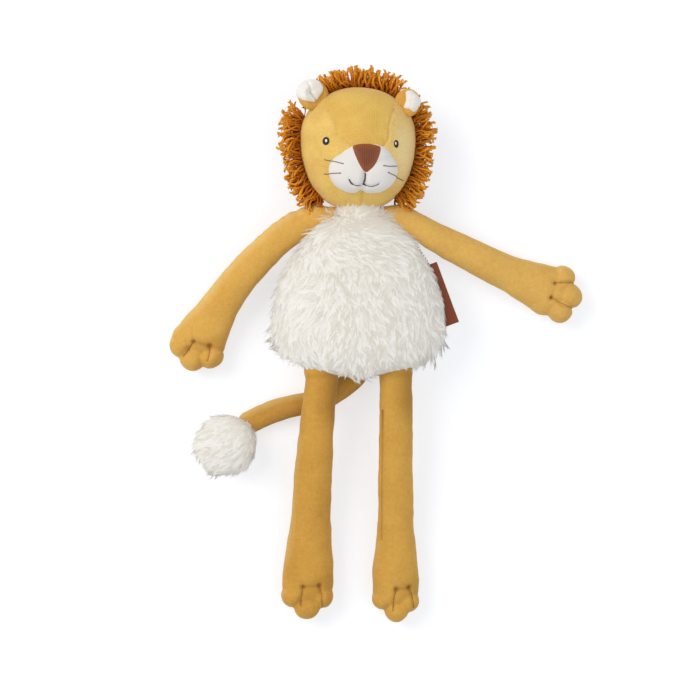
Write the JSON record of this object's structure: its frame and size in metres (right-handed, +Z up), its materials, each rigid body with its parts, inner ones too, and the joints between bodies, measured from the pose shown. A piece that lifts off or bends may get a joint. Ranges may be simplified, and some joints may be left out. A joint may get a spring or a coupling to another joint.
{
  "type": "plush lion doll",
  "caption": "Soft lion doll for a baby, lying on its back, with long jointed arms and legs, a fur body, a yarn mane, a tufted tail and a rattle capsule sealed in its filling",
  "frame": {"origin": "on the flat of the back, under the body, where the doll rests", "axes": "+X to the right seen from the front, +Y from the feet to the head, +Z up from the floor to the face"},
  "size_m": [0.2639, 0.3546, 0.0652],
  "materials": {
    "body_fur": "white long-pile fur fabric",
    "back_cloth": "plain pale woven cotton",
    "filling": "white polyester fibre filling",
    "rattle_case": "moulded plastic, satin",
    "rattle_bead": "moulded plastic bead",
    "face_velour": "golden ribbed velour",
    "velour": "golden yellow velour",
    "muzzle_fleece": "white short-pile velour",
    "nose_thread": "brown satin-stitch embroidery",
    "eye_thread": "black satin-stitch embroidery",
    "mane_yarn": "rust-orange chenille yarn",
    "tuft_fur": "white long-pile fur fabric",
    "label_tape": "plain brown woven tape"
  },
  "bodies": {
    "torso": {"torso_fur_front": "body_fur", "torso_back_panel": "back_cloth", "torso_filling_front": "filling", "torso_filling_back": "filling", "rattle_case_cup": "rattle_case", "rattle_case_cap": "rattle_case"},
    "beads": {"rattle_bead_1": "rattle_bead", "rattle_bead_2": "rattle_bead", "rattle_bead_3": "rattle_bead", "rattle_bead_4": "rattle_bead", "rattle_bead_5": "rattle_bead"},
    "head": {"head_face_panel": "face_velour", "head_back_panel": "velour", "head_filling": "filling", "muzzle": "muzzle_fleece", "nose": "nose_thread", "eye_left": "eye_thread", "eye_right": "eye_thread", "mane_left": "mane_yarn", "mane_top": "mane_yarn", "mane_right": "mane_yarn"},
    "ear_left": {"ear_left_back": "velour", "ear_left_lining": "muzzle_fleece"},
    "ear_right": {"ear_right_back": "velour", "ear_right_lining": "muzzle_fleece"},
    "arm_left": {"arm_left_cover": "velour", "arm_left_filling": "filling"},
    "arm_right": {"arm_right_cover": "velour", "arm_right_filling": "filling"},
    "leg_left": {"leg_left_cover": "velour", "leg_left_filling": "filling"},
    "leg_right": {"leg_right_cover": "velour", "leg_right_filling": "filling"},
    "tail": {"tail_cover": "velour", "tail_filling": "filling", "tail_tuft": "tuft_fur"},
    "label": {"side_label": "label_tape"}
  },
  "joints": [
    {"name": "neck_nod", "type": "hinge", "parent": "torso", "child": "head", "pos_m": [0, 0.056, 0.027], "axis": [1, 0, 0], "range_deg": [0, 30]},
    {"name": "shoulder_left", "type": "hinge", "parent": "torso", "child": "arm_left", "pos_m": [-0.0265, 0.053, 0.027], "axis": [-0.4384, 0.8988, 0], "range_deg": [0, 80]},
    {"name": "shoulder_right", "type": "hinge", "parent": "torso", "child": "arm_right", "pos_m": [0.0265, 0.053, 0.027], "axis": [-0.515, -0.8572, 0], "range_deg": [0, 80]},
    {"name": "hip_left", "type": "hinge", "parent": "torso", "child": "leg_left", "pos_m": [-0.0235, -0.05, 0.027], "axis": [-0.9925, 0.1219, 0], "range_deg": [0, 75]},
    {"name": "hip_right", "type": "hinge", "parent": "torso", "child": "leg_right", "pos_m": [0.0235, -0.05, 0.027], "axis": [-1, 0, 0], "range_deg": [0, 75]},
    {"name": "tail_wag", "type": "hinge", "parent": "torso", "child": "tail", "pos_m": [0.0015, -0.0445, 0.008], "axis": [0, 0, 1], "range_deg": [-10, 10]},
    {"name": "ear_left_fold", "type": "hinge", "parent": "head", "child": "ear_left", "pos_m": [-0.022, 0.1214, 0.042], "axis": [0.7071, 0.7071, 0], "range_deg": [0, 20], "stiffness_Nm_per_rad": 0.01},
    {"name": "ear_right_fold", "type": "hinge", "parent": "head", "child": "ear_right", "pos_m": [0.0227, 0.1159, 0.042], "axis": [0.7071, -0.7071, 0], "range_deg": [0, 20], "stiffness_Nm_per_rad": 0.01},
    {"name": "label_flap", "type": "hinge", "parent": "torso", "child": "label", "pos_m": [0.05092, 0.0035, 0.027], "axis": [0.3486, -0.9373, 0], "range_deg": [-15, 35], "stiffness_Nm_per_rad": 0.002},
    {"name": "beads_roll", "type": "slide", "parent": "torso", "child": "beads", "axis": [1, 0, 0], "range_m": [-0.002, 0.002]}
  ]
}
